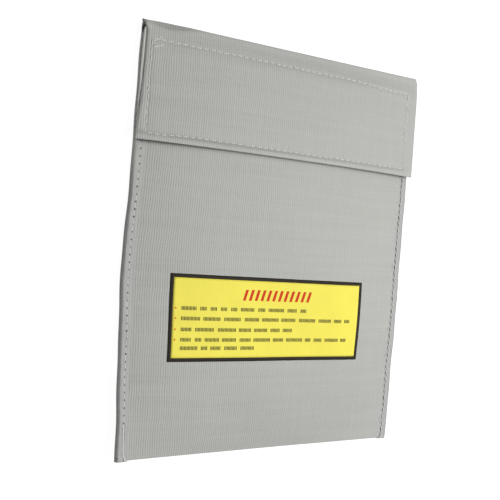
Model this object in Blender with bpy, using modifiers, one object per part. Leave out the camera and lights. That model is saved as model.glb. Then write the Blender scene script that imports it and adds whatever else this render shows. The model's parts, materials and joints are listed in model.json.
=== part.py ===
"""Fire-resistant charging bag for lithium-polymer packs: a flat envelope with a fold-over flap.

The bag lies on its back. X is its width, +Y runs from the folded bottom edge to the fold of the
flap, and +Z is the face that carries the warning panel. The origin is under the middle of the bag,
on the surface that it lies on. Every ply of cloth, tape and thread is a separate closed solid.
"""
import math

import bmesh
import bpy
import numpy
from mathutils import Vector

# Driving dimensions, in metres.
BAG_WIDTH = 0.182            # over the two side bindings
BAG_LENGTH = 0.230           # lower end of the bindings to the crest of the fold
FLAP_WIDTH = 0.184
FLAP_LENGTH = 0.060          # crest of the fold to the flap's free edge
PLY = 0.0003                 # one ply of coated glass-fibre cloth
GAP = 0.00015                # air between neighbouring plies
TAPE = 0.0004                # hook tape and loop tape
TAPE_WIDTH = 0.050
TAPE_GAP = 0.0005            # between the two tapes, where their stitches lie
THREAD_RADIUS = 0.00015
THREAD_LIFT = 0.00020        # centre of a thread above the cloth that it lies on
PRINT = 0.00012              # printed film of the warning panel
POCKET_HEIGHT = 0.0046       # clear height inside the bag

BINDING_WIDTH = 0.0064
SEAM_LIFT = 0.0004           # back leaf of a binding above the surface, with its thread below it
SIDE_SLOPE = 0.014           # width over which a panel comes down to its side seam
END_SLOPE = 0.016            # length over which the front comes down to the bottom fold
FOLD_RISE = 0.0006           # bottom fold above the lower ends of the bindings
MOUTH_Y = 0.110
PLY_INSET = 0.0014           # cut edges of the plies inside a binding, from its outside
FOLD_FLAT = 0.002            # both panels run level over this length before they turn at the bottom
PLATEAU_MARGIN = 0.0005      # from a binding's inner edge to where a panel starts to rise
STITCH_INSET = 0.0043        # side seams, from the edge of the bag
SEAM_LOW_END = 0.0008        # ends of a side seam's thread, from the ends of its binding
SEAM_HIGH_END = 0.001
MOUTH_THREAD_GAP = 0.001     # between the mouth's thread and the bindings
FLAP_LINING_INSET = 0.0008
PANEL_SLIT = 0.0001          # between the yellow field and its frame
STATION_MERGE = 0.0005       # no station lies closer than this to a piece's own edge
MOUTH_STITCH_INSET = 0.0018

HOOK_CENTRE_X = -0.0019
HOOK_WIDTH = 0.1712
HOOK_LOW_Y = 0.0564
LOOP_WIDTH = 0.164
LOOP_LOW_Y = 0.0565
HOOK_STITCH_INSET = 0.001
LOOP_STITCH_INSET = 0.002

LABEL_CENTRE = (-0.0021, -0.0399)
LABEL_SIZE = (0.1250, 0.0479)
LABEL_BORDER = 0.0020

# Heights that follow from them.
PITCH = PLY + GAP
HALF_LENGTH = BAG_LENGTH / 2
HALF_WIDTH = BAG_WIDTH / 2
PLY_HALF_WIDTH = HALF_WIDTH - PLY_INSET
COLUMNS = 20
POCKET_FLOOR = PLY + PITCH
CROWN_OUTER = POCKET_FLOOR + POCKET_HEIGHT + PITCH + PLY / 2
LOOP_Z = CROWN_OUTER + PLY / 2 + GAP + TAPE / 2
HOOK_Z = LOOP_Z + TAPE + TAPE_GAP
FLAP_LINING_Z = HOOK_Z + TAPE / 2 + GAP + PLY / 2
FLAP_OUTER_Z = FLAP_LINING_Z + PITCH
FLAP_TOP = FLAP_OUTER_Z + PLY / 2
FOLD_INSET = PLY + PITCH + GAP
HINGE_Y = HALF_LENGTH - FOLD_INSET
LOWER_HINGE_Z = FOLD_INSET
UPPER_HINGE_Z = FLAP_TOP - FOLD_INSET
FLAP_EDGE_Y = HALF_LENGTH - FLAP_LENGTH

CLOTH_GREY = (0.42, 0.43, 0.40)
LINING_GREY = (0.36, 0.37, 0.35)
TAPE_BLACK = (0.015, 0.015, 0.016)
THREAD_GREY = (0.62, 0.63, 0.60)
PANEL_YELLOW = (0.86, 0.74, 0.10)
PANEL_BROWN = (0.035, 0.026, 0.018)


def clear_scene():
    for scene_object in list(bpy.data.objects):
        bpy.data.objects.remove(scene_object, do_unlink=True)


def new_collection(name):
    collection = bpy.data.collections.new(name)
    bpy.context.scene.collection.children.link(collection)
    return collection


def give_material(target, colour, roughness):
    material = bpy.data.materials.new(target.name)
    material.use_nodes = True
    shader = material.node_tree.nodes["Principled BSDF"]
    shader.inputs["Base Color"].default_value = (*colour, 1.0)
    shader.inputs["Roughness"].default_value = roughness
    shader.inputs["Metallic"].default_value = 0.0
    target.data.materials.append(material)


def smooth(value):
    value = min(max(value, 0.0), 1.0)
    return value * value * (3.0 - 2.0 * value)


def spread(fraction):
    """Map 0..1 to -1..1 with the steps closing up towards both ends."""
    return math.sin(math.pi * (fraction - 0.5))


def blend(low, high, amount):
    return low + (high - low) * amount


STATIONS = [PLY_HALF_WIDTH * spread(column / COLUMNS) for column in range(COLUMNS + 1)]


def stations_within(reach):
    """Places across the bag where a piece that reaches this far from the middle has its edges."""
    inner = [station for station in STATIONS if abs(station) < reach - STATION_MERGE]
    return [-reach] + inner + [reach]


def faceted(profile, x):
    """Height at x on the flat facets between the stations, so that stacked plies bend alike."""
    return float(numpy.interp(x, STATIONS, [profile(station) for station in STATIONS]))


def seam_level(count):
    """Middle height of the numbered ply of a side seam, with the binding's back leaf as 0."""
    return SEAM_LIFT + PLY / 2 + count * PITCH


def side_blend(x):
    inner_edge = HALF_WIDTH - BINDING_WIDTH - PLATEAU_MARGIN
    return smooth((abs(x) - inner_edge + SIDE_SLOPE) / SIDE_SLOPE)


def end_blend(y):
    closed_y = -HALF_LENGTH + FOLD_RISE + FOLD_FLAT
    return smooth((closed_y + END_SLOPE - y) / END_SLOPE)


def back_height(x):
    """Middle height of the outer ply of the back panel."""
    return faceted(lambda station: blend(PLY / 2, seam_level(1), side_blend(station)), x)


def front_height(x, y):
    """Middle height of the outer ply of the front panel."""
    def profile(station):
        closed = back_height(station) + 3 * PITCH
        amount = 1.0 - (1.0 - side_blend(station)) * (1.0 - end_blend(y))
        return blend(CROWN_OUTER, closed, amount)

    return faceted(profile, x)


def sheet(name, columns, rows, place, thickness, collection):
    """Make a thin closed solid on the surface that place(across, along) describes."""
    mesh = bpy.data.meshes.new(name)
    grid = bmesh.new()
    bmesh.ops.create_grid(grid, x_segments=columns, y_segments=rows, size=1.0)
    for vertex in grid.verts:
        across = (vertex.co.x + 1.0) / 2.0
        along = (vertex.co.y + 1.0) / 2.0
        vertex.co = Vector(place(across, along))
    grid.to_mesh(mesh)
    grid.free()
    result = bpy.data.objects.new(name, mesh)
    collection.objects.link(result)
    shell = result.modifiers.new("thickness", "SOLIDIFY")
    shell.thickness = thickness
    shell.offset = 0.0
    shell.use_even_offset = True
    return result


def plate(name, low, high, collection):
    """Make a flat closed solid between two corners."""
    mesh = bpy.data.meshes.new(name)
    block = bmesh.new()
    bmesh.ops.create_cube(block, size=1.0)
    for vertex in block.verts:
        for axis in range(3):
            vertex.co[axis] = blend(low[axis], high[axis], vertex.co[axis] + 0.5)
    block.to_mesh(mesh)
    block.free()
    result = bpy.data.objects.new(name, mesh)
    collection.objects.link(result)
    return result


def thread(name, points, closed, collection):
    """Make one continuous thread along the points."""
    curve = bpy.data.curves.new(name, "CURVE")
    curve.dimensions = "3D"
    curve.bevel_depth = THREAD_RADIUS
    curve.bevel_resolution = 1
    curve.use_fill_caps = True
    line = curve.splines.new("POLY")
    line.points.add(len(points) - 1)
    for target, point in zip(line.points, points):
        target.co = (*point, 1.0)
    line.use_cyclic_u = closed
    result = bpy.data.objects.new(name, curve)
    collection.objects.link(result)
    return result


def sleeve_ply(name, depth, collection):
    """Make a ply of the body: front panel, bottom fold and back panel in one piece.

    depth is 0 for the outer ply and 1 for the lining, which lies one pitch inside it.
    """
    front_rows = 11
    fold_rows = 6
    back_rows = 3
    rows = front_rows + fold_rows + back_rows
    inset = depth * PITCH
    radius = 1.5 * PITCH - inset
    fold_y = -HALF_LENGTH + FOLD_RISE + PLY / 2 + 1.5 * PITCH

    def place(across, along):
        x = STATIONS[round(across * COLUMNS)]
        row = along * rows
        if row <= front_rows:
            fraction = row / front_rows
            y = blend(fold_y, MOUTH_Y, 1.0 - math.sin(fraction * math.pi / 2))
            return (x, y, front_height(x, y) - inset)
        if row < front_rows + fold_rows:
            angle = math.pi * (row - front_rows) / fold_rows
            middle = (front_height(x, fold_y) + back_height(x)) / 2
            return (x, fold_y - radius * math.sin(angle), middle + radius * math.cos(angle))
        fraction = (row - front_rows - fold_rows) / back_rows
        return (x, blend(fold_y, HINGE_Y, fraction), back_height(x) + inset)

    return sheet(name, COLUMNS, rows, place, PLY, collection)


def binding(name, side, collection):
    """Make the strip folded round one side seam; side is -1 for the left and 1 for the right."""
    leaf_rows = 1
    turn_rows = 8
    rows = 2 * leaf_rows + turn_rows
    radius = (seam_level(5) - seam_level(0)) / 2
    turn_x = HALF_WIDTH - PLY / 2 - radius
    inner_x = HALF_WIDTH - BINDING_WIDTH
    middle = (seam_level(5) + seam_level(0)) / 2

    def place(across, along):
        y = blend(-HALF_LENGTH, HINGE_Y - GAP, across)
        row = round(along * rows)
        if row < leaf_rows:
            return (side * inner_x, y, middle - radius)
        if row > leaf_rows + turn_rows:
            return (side * inner_x, y, middle + radius)
        angle = math.pi * (row - leaf_rows) / turn_rows
        return (side * (turn_x + radius * math.sin(angle)), y, middle - radius * math.cos(angle))

    return sheet(name, 6, rows, place, PLY, collection)


def loop_tape(name, collection):
    places = stations_within(LOOP_WIDTH / 2)
    columns = len(places) - 1

    def place(across, along):
        x = places[round(across * columns)]
        y = LOOP_LOW_Y + TAPE_WIDTH * along
        return (x, y, front_height(x, y) + LOOP_Z - CROWN_OUTER)

    return sheet(name, columns, 1, place, TAPE, collection)


def side_seam_threads(label, side, collection):
    x = side * (HALF_WIDTH - STITCH_INSET)
    ends = (-HALF_LENGTH + SEAM_LOW_END, HINGE_Y - SEAM_HIGH_END)
    needle_z = seam_level(5) + PLY / 2 + THREAD_LIFT
    bobbin_z = seam_level(0) - PLY / 2 - THREAD_LIFT
    needle = thread(label + "_seam_needle_thread", [(x, y, needle_z) for y in ends], False, collection)
    bobbin = thread(label + "_seam_bobbin_thread", [(x, y, bobbin_z) for y in ends], False, collection)
    return [needle, bobbin]


def mouth_threads(collection):
    y = MOUTH_Y - MOUTH_STITCH_INSET
    places = stations_within(HALF_WIDTH - BINDING_WIDTH - MOUTH_THREAD_GAP)
    above = PLY / 2 + THREAD_LIFT
    below = PITCH + PLY / 2 + THREAD_LIFT
    needle = [(x, y, front_height(x, y) + above) for x in places]
    bobbin = [(x, y, front_height(x, y) - below) for x in places]
    return [
        thread("mouth_needle_thread", needle, False, collection),
        thread("mouth_bobbin_thread", bobbin, False, collection),
    ]


def loop_tape_thread(collection):
    """Make the ring of stitches just inside the edge of the loop tape."""
    places = stations_within(LOOP_WIDTH / 2 - LOOP_STITCH_INSET)
    low_y = LOOP_LOW_Y + LOOP_STITCH_INSET
    high_y = LOOP_LOW_Y + TAPE_WIDTH - LOOP_STITCH_INSET
    lift = LOOP_Z - CROWN_OUTER + TAPE / 2 + THREAD_LIFT
    points = [(x, low_y, front_height(x, low_y) + lift) for x in places]
    points += [(x, high_y, front_height(x, high_y) + lift) for x in reversed(places)]
    return thread("loop_tape_thread", points, True, collection)


def flap_threads(collection):
    half = HOOK_WIDTH / 2 - HOOK_STITCH_INSET
    low = (HOOK_CENTRE_X - half, HOOK_LOW_Y + HOOK_STITCH_INSET)
    high = (HOOK_CENTRE_X + half, HOOK_LOW_Y + TAPE_WIDTH - HOOK_STITCH_INSET)
    corners = [low, (high[0], low[1]), high, (low[0], high[1])]
    above = FLAP_TOP + THREAD_LIFT
    below = HOOK_Z - TAPE / 2 - THREAD_LIFT
    return [
        thread("flap_needle_thread", [(x, y, above) for x, y in corners], True, collection),
        thread("flap_bobbin_thread", [(x, y, below) for x, y in corners], True, collection),
    ]


def warning_panel(collection, cutters):
    """Make the yellow field and the dark frame round it."""
    base = CROWN_OUTER + PLY / 2 + PRINT / 2
    half_x = LABEL_SIZE[0] / 2
    half_y = LABEL_SIZE[1] / 2
    inner_x = half_x - LABEL_BORDER
    inner_y = half_y - LABEL_BORDER
    field = plate(
        "warning_panel_field",
        (-inner_x + PANEL_SLIT, -inner_y + PANEL_SLIT, 0.0),
        (inner_x - PANEL_SLIT, inner_y - PANEL_SLIT, PRINT),
        collection,
    )
    frame = plate("warning_panel_frame", (-half_x, -half_y, 0.0), (half_x, half_y, PRINT), collection)
    window = plate("window_cutter", (-inner_x, -inner_y, -PRINT), (inner_x, inner_y, 2 * PRINT), cutters)
    window.hide_render = True
    window.display_type = "WIRE"
    cut = frame.modifiers.new("window", "BOOLEAN")
    cut.operation = "DIFFERENCE"
    cut.object = window
    for piece in (field, frame, window):
        piece.location = (*LABEL_CENTRE, base)
    return field, frame


def fold_ply(name, depth, collection):
    """Make the part of a ply that stands up between the back panel and the flap."""
    y = HALF_LENGTH - PLY / 2 - depth * PITCH

    def place(across, along):
        return (FLAP_WIDTH * (across - 0.5), y, blend(LOWER_HINGE_Z, UPPER_HINGE_Z, along))

    return sheet(name, 6, 3, place, PLY, collection)


def flap_ply(name, depth, collection):
    inset = FLAP_LINING_INSET * depth
    half = FLAP_WIDTH / 2 - inset
    middle = FLAP_OUTER_Z - depth * PITCH
    low = (-half, FLAP_EDGE_Y + inset, middle - PLY / 2)
    high = (half, HINGE_Y, middle + PLY / 2)
    return plate(name, low, high, collection)


def hook_tape(name, collection):
    half = HOOK_WIDTH / 2
    low = (HOOK_CENTRE_X - half, HOOK_LOW_Y, HOOK_Z - TAPE / 2)
    high = (HOOK_CENTRE_X + half, HOOK_LOW_Y + TAPE_WIDTH, HOOK_Z + TAPE / 2)
    return plate(name, low, high, collection)


def hinge_empty(name, z, collection):
    marker = bpy.data.objects.new(name, None)
    marker.location = (0.0, HINGE_Y, z)
    collection.objects.link(marker)
    return marker


def attach(pieces, parent):
    bpy.context.view_layer.update()
    for piece in pieces:
        piece.parent = parent
        piece.matrix_parent_inverse = parent.matrix_world.inverted()


def build():
    clear_scene()
    bag = new_collection("lipo_charging_bag")
    cutters = new_collection("cutters")

    cloth = [sleeve_ply("sleeve_outer_cloth", 0, bag)]
    cloth += [binding("left_binding", -1, bag), binding("right_binding", 1, bag)]
    linings = [sleeve_ply("sleeve_lining", 1, bag)]
    tapes = [loop_tape("loop_tape", bag)]
    threads = side_seam_threads("left", -1, bag) + side_seam_threads("right", 1, bag)
    threads += mouth_threads(bag) + [loop_tape_thread(bag)]
    field, frame = warning_panel(bag, cutters)

    fold = [fold_ply("fold_outer_cloth", 0, bag), fold_ply("fold_lining", 1, bag)]
    flap = [flap_ply("flap_outer_cloth", 0, bag), flap_ply("flap_lining", 1, bag)]
    flap_tape = hook_tape("hook_tape", bag)
    flap_stitches = flap_threads(bag)

    for piece in cloth + [fold[0], flap[0]]:
        give_material(piece, CLOTH_GREY, 0.55)
    for piece in linings + [fold[1], flap[1]]:
        give_material(piece, LINING_GREY, 0.65)
    for piece in tapes + [flap_tape]:
        give_material(piece, TAPE_BLACK, 0.9)
    for piece in threads + flap_stitches:
        give_material(piece, THREAD_GREY, 0.7)
    give_material(field, PANEL_YELLOW, 0.5)
    give_material(frame, PANEL_BROWN, 0.5)

    fold_hinge = hinge_empty("fold_hinge", LOWER_HINGE_Z, bag)
    flap_hinge = hinge_empty("flap_hinge", UPPER_HINGE_Z, bag)
    attach([flap_hinge] + fold, fold_hinge)
    attach(flap + [flap_tape] + flap_stitches, flap_hinge)


build()
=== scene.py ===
"""Looks of the fire-resistant charging bag: cloth, bindings, stitches, tapes and printed panel."""
import json
import math

import bmesh
import bpy
import numpy as np
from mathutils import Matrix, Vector

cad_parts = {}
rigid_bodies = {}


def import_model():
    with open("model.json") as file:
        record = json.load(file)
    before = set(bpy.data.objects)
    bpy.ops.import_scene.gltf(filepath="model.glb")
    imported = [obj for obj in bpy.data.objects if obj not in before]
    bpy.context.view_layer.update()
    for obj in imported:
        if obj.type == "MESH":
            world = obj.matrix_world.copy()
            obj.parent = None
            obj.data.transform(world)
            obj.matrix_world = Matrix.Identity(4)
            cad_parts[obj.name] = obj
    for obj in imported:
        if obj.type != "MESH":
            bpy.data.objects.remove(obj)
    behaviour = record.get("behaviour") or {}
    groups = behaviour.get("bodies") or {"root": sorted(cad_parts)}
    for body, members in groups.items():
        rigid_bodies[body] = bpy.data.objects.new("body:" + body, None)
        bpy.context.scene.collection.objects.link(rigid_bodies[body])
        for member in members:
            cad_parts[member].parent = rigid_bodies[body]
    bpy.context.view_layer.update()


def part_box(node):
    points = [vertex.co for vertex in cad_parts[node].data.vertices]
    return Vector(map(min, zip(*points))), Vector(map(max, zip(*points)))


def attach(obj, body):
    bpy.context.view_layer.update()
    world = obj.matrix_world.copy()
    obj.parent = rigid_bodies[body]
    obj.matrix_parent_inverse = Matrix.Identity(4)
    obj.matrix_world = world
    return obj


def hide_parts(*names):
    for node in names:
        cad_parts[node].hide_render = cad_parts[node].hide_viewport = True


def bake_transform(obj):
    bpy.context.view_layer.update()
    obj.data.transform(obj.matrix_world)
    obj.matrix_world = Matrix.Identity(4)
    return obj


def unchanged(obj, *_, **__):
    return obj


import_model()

DRAWS = np.random.default_rng(20)


def corners(node):
    low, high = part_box(node)
    return np.array(low), np.array(high)


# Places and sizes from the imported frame, in metres.
BINDING_LOW, BINDING_HIGH = corners("right_binding")
SLEEVE_LOW, SLEEVE_HIGH = corners("sleeve_outer_cloth")
LINING_HIGH = corners("sleeve_lining")[1]
FOLD_LOW, FOLD_HIGH = corners("fold_outer_cloth")
FLAP_LOW, FLAP_HIGH = corners("flap_outer_cloth")
HOOK_LOW, HOOK_HIGH = corners("hook_tape")
LOOP_LOW, LOOP_HIGH = corners("loop_tape")
MOUTH_THREAD_LOW, MOUTH_THREAD_HIGH = corners("mouth_needle_thread")
SEAM_THREAD_LOW, SEAM_THREAD_HIGH = corners("right_seam_needle_thread")
FLAP_THREAD_LOW, FLAP_THREAD_HIGH = corners("flap_needle_thread")
LOOP_THREAD_LOW, LOOP_THREAD_HIGH = corners("loop_tape_thread")
FRAME_LOW, FRAME_HIGH = corners("warning_panel_frame")

END_SLACK = 0.0006           # how far the cloth stands out past the plain model at each end
PLY = float(FLAP_HIGH[2] - FLAP_LOW[2])
PITCH = float(SLEEVE_HIGH[2] - LINING_HIGH[2])
TAPE = float(HOOK_HIGH[2] - HOOK_LOW[2])
HALF_LENGTH = float(FOLD_HIGH[1])
SEAM_X = float(BINDING_LOW[0])
EDGE_X = float(BINDING_HIGH[0])
PLY_EDGE_X = float(SLEEVE_HIGH[0])
CROWN_Z = float(SLEEVE_HIGH[2]) - PLY / 2
FLAP_Z = float(FLAP_HIGH[2]) - PLY / 2
HINGE_Y = float(FOLD_LOW[1] + FLAP_HIGH[1]) / 2
CREST_Y = HALF_LENGTH - PLY / 2 + END_SLACK
STITCH_X = float(SEAM_THREAD_LOW[0] + SEAM_THREAD_HIGH[0]) / 2
MOUTH_STITCH_Y = float(MOUTH_THREAD_LOW[1] + MOUTH_THREAD_HIGH[1]) / 2
MOUTH_Y = MOUTH_STITCH_Y + 0.0018        # the mouth's stitches run this far from its edge
LOWER_END_Y = float(BINDING_LOW[1]) - END_SLACK
FOLD_END_Y = float(SLEEVE_LOW[1]) + PLY / 2 - 1.6 * END_SLACK
FLAP_EDGE_Y = float(FLAP_LOW[1])

# How the cloth lies.
THREAD = 0.00027             # radius of a thread
STITCH_PITCH = 0.0040
STITCH_LENGTH = 0.0034
THREAD_SINK = 0.00008        # how far a seam's thread lies in the binding
CORNER_LIFT = 0.0070         # lower left corner, which curls up
CORNER_PULL = 0.0009         # and is drawn in
CURL_START = (0.030, -0.005)         # the curl grows from here over these lengths
CURL_REACH = (0.120, 0.110)
SAG_START_Y, SAG_REACH = -0.060, 0.055
LEFT_BOWS = ((-0.020, 0.040, 0.0017), (-0.072, 0.016, 0.0005))      # place along the side, reach, size
RIGHT_BOWS = ((-0.042, 0.028, 0.0005), (-0.097, 0.016, 0.0005))
LEFT_SHOULDER = 0.0005       # the left binding is wider beside the flap
SHOULDER_Y, SHOULDER_REACH = 0.078, 0.038
LEFT_LEAN = 0.0008           # the left side slants out towards the back
RIGHT_LEAN = 0.0002
EDGE_PRESS = (0.00036, 0.00052)      # how far the inner edge of each binding is pressed down
PRESS_REACH = (0.0018, 0.0026)
RIGHT_BULGE = 0.0004
BOTTOM_SAG = 0.0008
CROWN_POWER = 2.7
FRONT_HILLS = (((0.055, -0.032), (0.030, 0.030), 0.0010),        # place, reach, height
               ((0.030, -0.095), (0.025, 0.020), -0.0005))
END_SLOPE = 0.052            # length over which the front comes down to the bottom fold
FOLD_DEPTH = 0.0009
FLAP_DROOP = 0.0019          # side edges of the flap below its middle
LIP_LIFT = 0.0012            # the free edge curls up
CREST_LEFT_Z, CREST_RIGHT_Z = 0.0066, 0.0054         # top of the fold at the two ends of the flap
CREST_LEFT_DEPTH, CREST_RIGHT_DEPTH = 0.0017, 0.0010
CREST_BAND = 0.0024          # more depth where the fold rolls widest, near its left end
CREST_BAND_X = -0.0770
CREST_TONE_REACH = 0.016     # reach of its flatter top and of the painted shade on it
CREST_RISE = 0.013
CREST_BUMPS = ((-0.0655, 0.009, 0.0003), (-0.0905, 0.006, -0.0004))     # place across, reach, size
FLAP_LEFT_TOP, FLAP_LEFT_LOW = 0.0899, 0.0928
FLAP_RIGHT_TOP, FLAP_RIGHT_LOW = 0.0906, 0.0911
CORNER_CUT = 0.0011          # upper right corner of the flap
CORNER_LENGTH = 0.0030
HEM = 0.0070
PUCKER_DEPTH = 0.00024       # how far the stitches draw the flap in
PUCKER_RISE = 0.00005        # and how far it rises between two of them
EDGE_ROUND = 0.00022         # how far the outer cloth turns down at an edge of the flap
LINING_SHARE = 0.92          # width of the flap's lining against the flap
FACING_REACH = 0.0014        # doubled cloth that stands out below the left edge of the flap
FACING_DROP = 0.0006
FACING_START_Y = 0.1108
FACING_END_Y = 0.066
FACING_PAINTED_LIGHT = (-0.32, -0.05)         # painted light: paler than the cloth, most at its upper end
STEP_PAINTED_SHADE = (0.78, 0.42)     # painted shade under the flap's free edge, at the left and at the right
STEP_REACH = (0.0013, 0.0030)        # below the edge and above it
FOLD_FLARE = 0.0020          # how far the open left end of the fold spreads
FLARE_TOP = 0.75             # share of that in the corner of the flap
# place and reach of painted shade on the lining inside the fold's open left end
FOLD_SHADE_PLACE, FOLD_SHADE_REACH = (-0.0900, 0.1120), (0.006, 0.0020)
# place of a painted highlight at the flap's upper left corner
HIGHLIGHT_CORNER = (0.0012 - FLAP_LEFT_TOP, 0.1122)
SEAM_SHIFT = 0.0004          # the side stitches run this much nearer the edge than in the plain model
LOCK_LENGTH = 0.0190         # plain run of thread that ends the left side seam
BOTTOM_ROW_SLIP = 0.0009     # the lower row of stitches runs down at its left end
TOP_ROW_SLIP = 0.0014        # the flap's upper row of stitches runs down towards the right

FIELD_LOW, FIELD_HIGH = corners("warning_panel_field")
PANEL_CENTRE = (FRAME_LOW + FRAME_HIGH) / 2
PANEL_HALF = (FRAME_HIGH - FRAME_LOW) / 2
FIELD_HALF = (FIELD_HIGH - FIELD_LOW) / 2
PRINT = 0.00006


# ------------------------------------------------------------------ shape of the bag

def ramp(value):
    value = np.clip(value, 0.0, 1.0)
    return value * value * (3.0 - 2.0 * value)


def between(low, high, amount):
    return low + (high - low) * amount


def bell(value, centre, reach):
    return np.exp(-(((value - centre) / reach) ** 2))


def swell(x, y, centre, reach):
    return bell(x, centre[0], reach[0]) * bell(y, centre[1], reach[1])


def grid(x, y, z):
    """Places from three arrays that fit together."""
    return np.stack(np.broadcast_arrays(x, y, z), -1)


def seam_level(count):
    """Middle height of the numbered ply of a side seam, with the binding's back leaf as 0."""
    return float(BINDING_LOW[2]) + PLY / 2 + count * PITCH


def across_shape(x):
    return 1.0 - np.clip(np.abs(x) / SEAM_X, 0.0, 1.0) ** CROWN_POWER


def end_shape(y):
    return 1.0 - (1.0 - np.clip((y - FOLD_END_Y) / END_SLOPE, 0.0, 1.0)) ** 2.4


def front_relief(x, y):
    """Slow waves of the front panel, which die out under the flap."""
    waves = 0.00034 * np.sin(x / 0.019 + 1.3) * np.sin(y / 0.024 + 0.4)
    waves = waves + 0.00022 * np.sin((x + 0.7 * y) / 0.011)
    waves = waves + sum(height * swell(x, y, centre, reach) for centre, reach, height in FRONT_HILLS)
    return waves * (1.0 - 0.85 * ramp((y - 0.040) / 0.020))


def front_height(x, y):
    """Middle height of the outer ply of the front panel."""
    low = seam_level(4)
    shape = across_shape(x) * end_shape(y)
    return low + (CROWN_Z - low) * shape + front_relief(x, y) * np.sqrt(np.clip(shape, 0.0, 1.0))


def back_height(x, y):
    """Middle height of the outer ply of the back panel."""
    return PLY / 2 + (seam_level(1) - PLY / 2) * np.clip(np.abs(x) / SEAM_X, 0.0, 1.0) ** 6


def rightness(x):
    return np.clip((x / EDGE_X + 1.0) / 2.0, 0.0, 1.0)


def crest_top(x):
    return between(CREST_LEFT_Z, CREST_RIGHT_Z, rightness(x) ** 0.8) - PLY / 2


def crest_band(x, reach):
    """1 where the fold rolls widest, near its left end, and less beside it."""
    return bell(x, CREST_BAND_X, reach)


def crest_depth(x):
    depth = between(CREST_LEFT_DEPTH, CREST_RIGHT_DEPTH, rightness(x) ** 0.5)
    return depth + CREST_BAND * crest_band(x, 0.0105)


def ring_distance(x, y, low, high):
    """Distance from a rectangle's outline."""
    outside_x = np.maximum(np.maximum(low[0] - x, x - high[0]), 0.0)
    outside_y = np.maximum(np.maximum(low[1] - y, y - high[1]), 0.0)
    inside = np.minimum(np.minimum(x - low[0], high[0] - x), np.minimum(y - low[1], high[1] - y))
    return np.where(inside > 0.0, inside, np.hypot(outside_x, outside_y))


FLAP_RING_LOW = (float(FLAP_THREAD_LOW[0]), float(FLAP_THREAD_LOW[1]))
FLAP_RING_HIGH = (float(FLAP_THREAD_HIGH[0]), float(FLAP_THREAD_HIGH[1]))


def row_slip(x, y):
    """How far a row of stitches on the flap runs down at this place."""
    top = TOP_ROW_SLIP * ramp((x - 0.030) / 0.045) * ramp((y - 0.080) / 0.020)
    return top + BOTTOM_ROW_SLIP * ramp((-0.060 - x) / 0.020) * ramp((0.070 - y) / 0.010)


def flap_pucker(x, y):
    """The cloth is drawn in along the rectangle of stitches, and rises a little between them."""
    away = ring_distance(x, y + row_slip(x, y), FLAP_RING_LOW, FLAP_RING_HIGH)
    beat = np.sin((x + y) * 2.0 * math.pi / STITCH_PITCH) * bell(away, 0.0, 0.0026)
    return PUCKER_RISE * beat - PUCKER_DEPTH * bell(away, 0.0, 0.0010)


def flap_height(x, y):
    """Middle height of the outer ply of the flap."""
    droop = FLAP_DROOP * np.clip(np.abs(x) / FLAP_HIGH[0], 0.0, 1.1) ** 3.2
    lip = LIP_LIFT * between(1.3, 0.7, rightness(x)) * ramp((0.0915 - x) / 0.012)
    lip = lip * ramp((FLAP_RING_LOW[1] + 0.0008 - y) / 0.0035)
    waves = 0.00012 * (1.0 + np.sin(x / 0.014 + 0.6) * np.sin(y / 0.012))
    plateau = FLAP_Z - 0.0001 - droop + lip - waves
    crest_y = CREST_Y - crest_depth(x)
    return between(crest_top(x), plateau, ramp((crest_y - y) / CREST_RISE)) + flap_pucker(x, y)


def bows(along, places):
    return sum(size * bell(along, centre, reach) for centre, reach, size in places)


def settle(points):
    """Set of the whole bag: its lower left corner curls up and its sides bow out a little."""
    x, y, z = np.moveaxis(points, -1, 0)
    left, low = (np.clip((CURL_START[n] - (x, y)[n]) / CURL_REACH[n], 0.0, 1.0) for n in (0, 1))
    curl = left ** 1.6 * low ** 1.1
    left_bow = bows(y, LEFT_BOWS)
    right_bow = RIGHT_BULGE * (1.0 - (y / HALF_LENGTH) ** 2) + bows(y, RIGHT_BOWS)
    sag = (1.0 - (x / EDGE_X) ** 2) * np.clip((SAG_START_Y - y) / SAG_REACH, 0.0, 1.0)
    moved_x = x + x / EDGE_X * np.where(x < 0.0, left_bow, right_bow) + CORNER_PULL * curl
    return grid(moved_x, y - BOTTOM_SAG * sag, z + CORNER_LIFT * curl)


def stations(low, high, step, fine=(), fine_step=0.0003, reach=0.0018):
    """Places from low to high, closer together near each of the fine places."""
    places = list(np.linspace(low, high, max(2, round((high - low) / step) + 1)))
    for centre in fine:
        near = np.arange(centre - reach, centre + reach + fine_step / 2, fine_step)
        places = [p for p in places if abs(p - centre) > reach + fine_step / 2]
        places += [p for p in near if low < p < high]
    places = sorted(set(places + [low, high]))
    kept = [places[0]]
    for place in places[1:]:
        if place - kept[-1] > fine_step * 0.4:
            kept.append(place)
    kept[-1] = high
    return np.array(kept)


# ------------------------------------------------------------------ materials

WEAVE_PITCH = 0.00130        # from one yarn of the bag's cloth to the next
TAPE_WEAVE = 0.0005
TWIST, ROPE = 0.0007, 0.00045        # a thread's plies, along it and round it


def material_tree(name):
    material = bpy.data.materials.new(name)
    material.use_nodes = True
    shader = material.node_tree.nodes["Principled BSDF"]
    return material, material.node_tree, shader


def feed(tree, socket, value):
    if isinstance(value, bpy.types.NodeSocket):
        tree.links.new(value, socket)
    else:
        socket.default_value = value


def add_node(tree, kind, values=None, **settings):
    node = tree.nodes.new(kind)
    for key, value in settings.items():
        setattr(node, key, value)
    for key, value in (values or {}).items():
        feed(tree, node.inputs[key], value)
    return node


def calc(tree, operation, first, second=0.0, third=0.0, clamp=False):
    values = {0: first, 1: second, 2: third}
    return add_node(tree, "ShaderNodeMath", values, operation=operation, use_clamp=clamp).outputs[0]


def times(tree, first, second, clamp=False):
    return calc(tree, "MULTIPLY", first, second, clamp=clamp)


def scaled(tree, vector, factors):
    return add_node(tree, "ShaderNodeVectorMath", {0: vector, 1: factors}, operation="MULTIPLY").outputs[0]


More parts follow.
